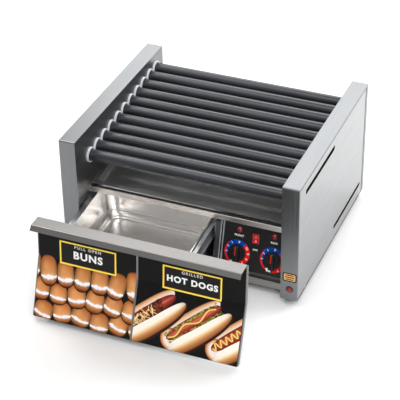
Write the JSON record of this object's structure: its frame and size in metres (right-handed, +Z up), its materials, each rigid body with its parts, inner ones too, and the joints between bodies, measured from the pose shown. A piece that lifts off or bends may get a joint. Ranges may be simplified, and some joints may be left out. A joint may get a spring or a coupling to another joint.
{
  "type": "hot dog roller grill",
  "caption": "Countertop roller grill: heated turning tubes between two steel towers over a drip tray, with a pull-out bun drawer and a control panel.",
  "frame": {"origin": "on the surface it stands on, under the middle of the outline with the drawer open as at rest", "axes": "+Z up, the drawer opens towards -Y, +X to the right seen from the front"},
  "size_m": [0.606, 0.7932, 0.33],
  "materials": {
    "brushed_wrapper": "brushed stainless",
    "side_sheet": "brushed stainless",
    "inner_sheet": "satin stainless",
    "base_sheet": "satin stainless",
    "galvanised": "galvanised",
    "roller_coating": "satin non-stick coating",
    "bush_plastic": "white filled plastic",
    "polished_steel": "polished stainless",
    "trim_steel": "bright stainless",
    "panel_black": "satin black",
    "graphic_black": "printed plate",
    "dial_print": "printed ring",
    "knob_plastic": "black phenolic",
    "red_lens": "red lens",
    "rocker_red": "red",
    "black_plastic": "black plastic",
    "zinc_steel": "zinc-plated steel",
    "chain_steel": "oiled steel",
    "motor_paint": "grey enamel",
    "foot_rubber": "black rubber"
  },
  "bodies": {
    "machine": {"back_panel": "side_sheet", "base_pan": "base_sheet", "control_box_wall": "inner_sheet", "control_fascia": "panel_black", "cord_gland": "black_plastic", "cover_screws": "zinc_steel", "dial_plates": "dial_print", "drip_tray": "polished_steel", "element_holders": "galvanised", "fascia_trim": "trim_steel", "feet": "foot_rubber", "gear_motor": "motor_paint", "heat_switches": "black_plastic", "heating_elements": "zinc_steel", "indicator_lenses": "red_lens", "left_inner_plate": "inner_sheet", "left_side_panel": "side_sheet", "left_tower_shell": "brushed_wrapper", "motor_bracket": "galvanised", "right_inner_plate": "inner_sheet", "right_side_panel": "side_sheet", "right_tower_shell": "brushed_wrapper", "rocker_bezel": "black_plastic", "roller_bearings": "bush_plastic", "roller_chain": "chain_steel", "slide_outer_channels": "zinc_steel", "tray_front_rail": "trim_steel"},
    "drawer": {"drawer_front": "trim_steel", "graphic_panels": "graphic_black", "graphic_divider": "polished_steel", "drawer_frame": "side_sheet", "bun_pan": "polished_steel", "slide_inner_members": "zinc_steel"},
    "slide_middles": {"slide_middle_members": "zinc_steel"},
    "front_knob": {"knob_front": "knob_plastic"},
    "rear_knob": {"knob_rear": "knob_plastic"},
    "rocker": {"power_rocker": "rocker_red"},
    "drive": {"drive_sprocket": "chain_steel"},
    "roller_01_body": {"roller_01": "roller_coating", "roller_sprocket_01": "chain_steel"},
    "roller_02_body": {"roller_02": "roller_coating", "roller_sprocket_02": "chain_steel"},
    "roller_03_body": {"roller_03": "roller_coating", "roller_sprocket_03": "chain_steel"},
    "roller_04_body": {"roller_04": "roller_coating", "roller_sprocket_04": "chain_steel"},
    "roller_05_body": {"roller_05": "roller_coating", "roller_sprocket_05": "chain_steel"},
    "roller_06_body": {"roller_06": "roller_coating", "roller_sprocket_06": "chain_steel"},
    "roller_07_body": {"roller_07": "roller_coating", "roller_sprocket_07": "chain_steel"},
    "roller_08_body": {"roller_08": "roller_coating", "roller_sprocket_08": "chain_steel"},
    "roller_09_body": {"roller_09": "roller_coating", "roller_sprocket_09": "chain_steel"},
    "roller_10_body": {"roller_10": "roller_coating", "roller_sprocket_10": "chain_steel"},
    "roller_11_body": {"roller_11": "roller_coating", "roller_sprocket_11": "chain_steel"}
  },
  "joints": [
    {"name": "roller_01_turn", "type": "hinge", "parent": "machine", "child": "roller_01_body", "pos_m": [0, -0.05035, 0.2555], "axis": [1, 0, 0], "continuous": true},
    {"name": "roller_02_turn", "type": "hinge", "parent": "machine", "child": "roller_02_body", "pos_m": [0, -0.01055, 0.25886], "axis": [1, 0, 0], "continuous": true},
    {"name": "roller_03_turn", "type": "hinge", "parent": "machine", "child": "roller_03_body", "pos_m": [0, 0.02925, 0.26221], "axis": [1, 0, 0], "continuous": true},
    {"name": "roller_04_turn", "type": "hinge", "parent": "machine", "child": "roller_04_body", "pos_m": [0, 0.06905, 0.26557], "axis": [1, 0, 0], "continuous": true},
    {"name": "roller_05_turn", "type": "hinge", "parent": "machine", "child": "roller_05_body", "pos_m": [0, 0.10885, 0.26892], "axis": [1, 0, 0], "continuous": true},
    {"name": "roller_06_turn", "type": "hinge", "parent": "machine", "child": "roller_06_body", "pos_m": [0, 0.14865, 0.27228], "axis": [1, 0, 0], "continuous": true},
    {"name": "roller_07_turn", "type": "hinge", "parent": "machine", "child": "roller_07_body", "pos_m": [0, 0.18845, 0.27564], "axis": [1, 0, 0], "continuous": true},
    {"name": "roller_08_turn", "type": "hinge", "parent": "machine", "child": "roller_08_body", "pos_m": [0, 0.22825, 0.27899], "axis": [1, 0, 0], "continuous": true},
    {"name": "roller_09_turn", "type": "hinge", "parent": "machine", "child": "roller_09_body", "pos_m": [0, 0.26805, 0.28235], "axis": [1, 0, 0], "continuous": true},
    {"name": "roller_10_turn", "type": "hinge", "parent": "machine", "child": "roller_10_body", "pos_m": [0, 0.30785, 0.2857], "axis": [1, 0, 0], "continuous": true},
    {"name": "roller_11_turn", "type": "hinge", "parent": "machine", "child": "roller_11_body", "pos_m": [0, 0.34765, 0.28906], "axis": [1, 0, 0], "continuous": true},
    {"name": "drive_turn", "type": "hinge", "parent": "machine", "child": "drive", "pos_m": [0.27, 0.05615, 0.107], "axis": [1, 0, 0], "continuous": true},
    {"name": "drawer_slide", "type": "slide", "parent": "machine", "child": "drawer", "axis": [0, -0.9976, -0.0698], "range_m": [-0.258, 0.07]},
    {"name": "middle_slide", "type": "slide", "parent": "machine", "child": "slide_middles", "axis": [0, -0.9976, -0.0698], "range_m": [-0.129, 0.035]},
    {"name": "front_knob_turn", "type": "hinge", "parent": "machine", "child": "front_knob", "pos_m": [0.1372, -0.09702, 0.09365], "axis": [0, -0.9613, 0.2756], "range_deg": [0, 309]},
    {"name": "rear_knob_turn", "type": "hinge", "parent": "machine", "child": "rear_knob", "pos_m": [0.2277, -0.09702, 0.09365], "axis": [0, -0.9613, 0.2756], "range_deg": [0, 309]},
    {"name": "rocker_tilt", "type": "hinge", "parent": "machine", "child": "rocker", "pos_m": [0.181, -0.07432, 0.13291], "axis": [1, 0, 0], "range_deg": [-20, 0]}
  ],
  "couplings": [
    {"joint": "roller_02_turn", "follows": "roller_01_turn", "ratio": 1},
    {"joint": "roller_03_turn", "follows": "roller_01_turn", "ratio": 1},
    {"joint": "roller_04_turn", "follows": "roller_01_turn", "ratio": 1},
    {"joint": "roller_05_turn", "follows": "roller_01_turn", "ratio": 1},
    {"joint": "roller_06_turn", "follows": "roller_01_turn", "ratio": 1},
    {"joint": "roller_07_turn", "follows": "roller_01_turn", "ratio": 1},
    {"joint": "roller_08_turn", "follows": "roller_01_turn", "ratio": 1},
    {"joint": "roller_09_turn", "follows": "roller_01_turn", "ratio": 1},
    {"joint": "roller_10_turn", "follows": "roller_01_turn", "ratio": 1},
    {"joint": "roller_11_turn", "follows": "roller_01_turn", "ratio": 1},
    {"joint": "drive_turn", "follows": "roller_01_turn", "ratio": 0.66667},
    {"joint": "middle_slide", "follows": "drawer_slide", "ratio": 0.5}
  ]
}
